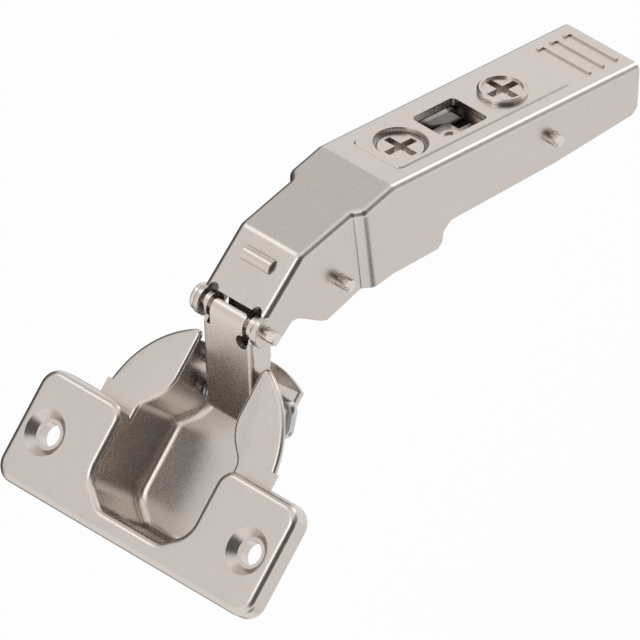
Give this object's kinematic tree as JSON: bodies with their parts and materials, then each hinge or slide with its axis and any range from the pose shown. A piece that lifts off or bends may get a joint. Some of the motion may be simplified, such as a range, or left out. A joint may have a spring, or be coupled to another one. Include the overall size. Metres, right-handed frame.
{
  "type": "cabinet hinge",
  "caption": "Concealed wide-angle cabinet hinge with a screw-on cup and an angled clip-on arm, shown open.",
  "frame": {"origin": "centre of the cup on the face of the door", "axes": "+X along the hinge pins, +Y from the cup towards the arm, +Z out of the cup's mouth"},
  "size_m": [0.0566, 0.104, 0.0611],
  "materials": {
    "nickel_sheet": "satin nickel, fine sandy grain",
    "nickel_arm": "satin nickel, fine sandy grain",
    "nickel_link": "satin nickel",
    "steel_wire": "smooth drawn wire",
    "pin_steel": "nickel, splined ends",
    "screw_steel": "satin nickel, dark cross recess",
    "inner_steel": "plain steel",
    "spring_steel": "spring wire",
    "sleeve_plastic": "dark plastic"
  },
  "bodies": {
    "boss": {"hinge_cup": "nickel_sheet", "cup_axle_staple": "steel_wire", "closing_spring_right": "spring_steel", "closing_spring_left": "spring_steel"},
    "outer_link": {"outer_link": "nickel_link", "outer_axle_sleeve": "sleeve_plastic"},
    "inner_link": {"inner_link": "nickel_link"},
    "arm": {"arm": "nickel_arm", "front_axle_pin": "pin_steel", "second_axle_pin": "pin_steel", "second_pin_spacers": "sleeve_plastic", "lever_pin": "pin_steel", "side_screw_bush": "inner_steel"},
    "depth_screw": {"depth_adjust_screw": "screw_steel"},
    "depth_slide": {"depth_slide": "inner_steel", "tilt_pin": "inner_steel"},
    "side_washer": {"side_screw_washer": "inner_steel"},
    "side_screw": {"side_adjust_screw": "screw_steel"},
    "carrier": {"carrier": "inner_steel"},
    "lever": {"release_lever": "inner_steel", "lever_spring": "spring_steel"}
  },
  "joints": [
    {"name": "outer_link_swing", "type": "hinge", "parent": "boss", "child": "outer_link", "pos_m": [0, 0.0086, -0.008], "axis": [1, 0, 0], "range_deg": [0, 108]},
    {"name": "arm_swing", "type": "hinge", "parent": "outer_link", "child": "arm", "pos_m": [0, 0.0216, 0.00435], "axis": [1, 0, 0], "range_deg": [-13, 0]},
    {"name": "inner_link_swing", "type": "hinge", "parent": "boss", "child": "inner_link", "pos_m": [0, 0.013, -0.0057], "axis": [1, 0, 0], "range_deg": [0, 122.6]},
    {"name": "depth_screw_turn", "type": "hinge", "parent": "arm", "child": "depth_screw", "pos_m": [0, 0.071, -0.03146], "axis": [0, 0.7902, 0.6129], "range_deg": [-144.5, 216.5]},
    {"name": "depth_slide_travel", "type": "slide", "parent": "arm", "child": "depth_slide", "axis": [0, 0.6129, -0.7902], "range_m": [-0.002, 0.003]},
    {"name": "side_screw_turn", "type": "hinge", "parent": "side_washer", "child": "side_screw", "pos_m": [0, 0.05703, -0.01344], "axis": [0, 0.7902, 0.6129], "range_deg": [-360.5, 360.5]},
    {"name": "side_washer_travel", "type": "slide", "parent": "arm", "child": "side_washer", "axis": [0, 0.7902, 0.6129], "range_m": [-0.0015, 0.0015]},
    {"name": "carrier_tilt", "type": "hinge", "parent": "depth_slide", "child": "carrier", "pos_m": [0, 0.07092, -0.0457], "axis": [1, 0, 0], "range_deg": [-2.54, 2.54]},
    {"name": "lever_press", "type": "hinge", "parent": "arm", "child": "lever", "pos_m": [0, 0.06848, -0.03734], "axis": [1, 0, 0], "range_deg": [0, 8], "stiffness_Nm_per_rad": 0.02, "springref_deg": -17.19}
  ],
  "couplings": [
    {"joint": "arm_swing", "follows": "outer_link_swing", "ratio": -0.12},
    {"joint": "inner_link_swing", "follows": "outer_link_swing", "ratio": 1.135},
    {"joint": "depth_screw_turn", "follows": "depth_slide_travel", "rad_per_m": 1256.6},
    {"joint": "side_screw_turn", "follows": "side_washer_travel", "rad_per_m": 4188.8},
    {"joint": "carrier_tilt", "follows": "side_washer_travel", "rad_per_m": -29.412}
  ]
}
